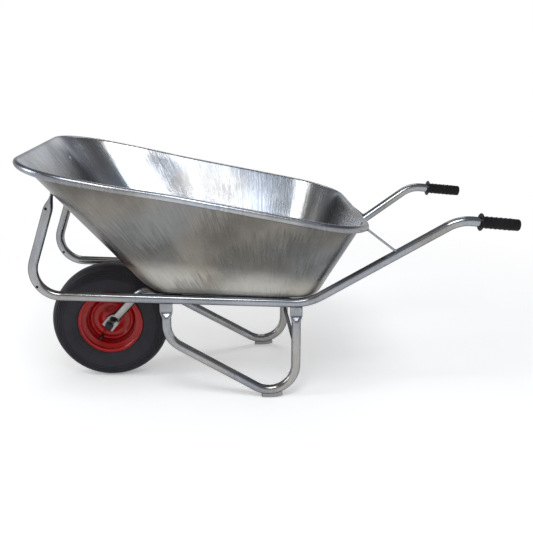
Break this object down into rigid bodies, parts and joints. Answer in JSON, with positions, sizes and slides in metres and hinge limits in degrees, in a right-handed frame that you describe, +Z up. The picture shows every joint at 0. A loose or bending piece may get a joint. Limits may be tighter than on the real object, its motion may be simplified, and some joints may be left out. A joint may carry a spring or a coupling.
{
  "type": "wheelbarrow",
  "caption": "Galvanised steel builder's wheelbarrow with a deep pressed pan, bent-tube frame with leg loops, black grips and a red-rimmed pneumatic wheel on ball bearings.",
  "frame": {"origin": "on the ground, on the middle plane between the two grips, below the middle of the overall length", "axes": "+Z is up; +X runs along the barrow from the nose towards the handles; -Y is the left of a person who stands between the handles"},
  "size_m": [1.5072, 0.8414, 0.7999],
  "materials": {
    "pan_zinc": "hot-dip galvanised sheet, satin with bright streaks and spangle",
    "galvanised": "hot-dip galvanised tube, semi-bright",
    "grip_plastic": "moulded, matt black",
    "zinc_plate": "zinc plated, dull",
    "red_paint": "gloss red",
    "tyre_rubber": "black moulded rubber",
    "tube_rubber": "black butyl rubber",
    "cap_plastic": "black plastic",
    "bearing_steel": "ground bearing steel"
  },
  "bodies": {
    "frame": {"pan": "pan_zinc", "left_side_tube": "galvanised", "right_side_tube": "galvanised", "left_leg": "galvanised", "right_leg": "galvanised", "left_foot_shoe": "galvanised", "right_foot_shoe": "galvanised", "leg_cross_brace": "galvanised", "front_pan_bar": "galvanised", "rear_pan_bar": "galvanised", "left_fork_stay": "galvanised", "right_fork_stay": "galvanised", "left_rim_stay": "galvanised", "right_rim_stay": "galvanised", "left_grip": "grip_plastic", "right_grip": "grip_plastic", "axle": "zinc_plate", "axle_nuts": "zinc_plate", "axle_washers": "zinc_plate", "axle_sleeve": "zinc_plate", "left_distance_sleeve": "zinc_plate", "right_distance_sleeve": "zinc_plate", "left_bearing_inner_ring": "bearing_steel", "right_bearing_inner_ring": "bearing_steel", "floor_bolts": "zinc_plate", "floor_washers": "zinc_plate", "floor_nuts": "zinc_plate", "hoop_bolts": "zinc_plate", "hoop_washers": "zinc_plate", "hoop_nuts": "zinc_plate"},
    "wheel": {"hub_tube": "red_paint", "wheel_rim": "red_paint", "wheel_disc": "red_paint", "tyre": "tyre_rubber", "inner_tube": "tube_rubber", "valve_stem": "tube_rubber", "valve_cap": "cap_plastic", "left_bearing_outer_ring": "bearing_steel", "right_bearing_outer_ring": "bearing_steel"},
    "left_ball_set": {"left_bearing_balls": "bearing_steel", "left_bearing_cage": "bearing_steel"},
    "right_ball_set": {"right_bearing_balls": "bearing_steel", "right_bearing_cage": "bearing_steel"}
  },
  "joints": [
    {"name": "wheel_spin", "type": "hinge", "parent": "frame", "child": "wheel", "pos_m": [-0.5371, 0, 0.2], "axis": [0, -1, 0], "continuous": true},
    {"name": "left_ball_set_turn", "type": "hinge", "parent": "frame", "child": "left_ball_set", "pos_m": [-0.5371, 0, 0.2], "axis": [0, -1, 0], "continuous": true},
    {"name": "right_ball_set_turn", "type": "hinge", "parent": "frame", "child": "right_ball_set", "pos_m": [-0.5371, 0, 0.2], "axis": [0, -1, 0], "continuous": true}
  ],
  "couplings": [
    {"joint": "left_ball_set_turn", "follows": "wheel_spin", "ratio": 0.615},
    {"joint": "right_ball_set_turn", "follows": "wheel_spin", "ratio": 0.615}
  ]
}
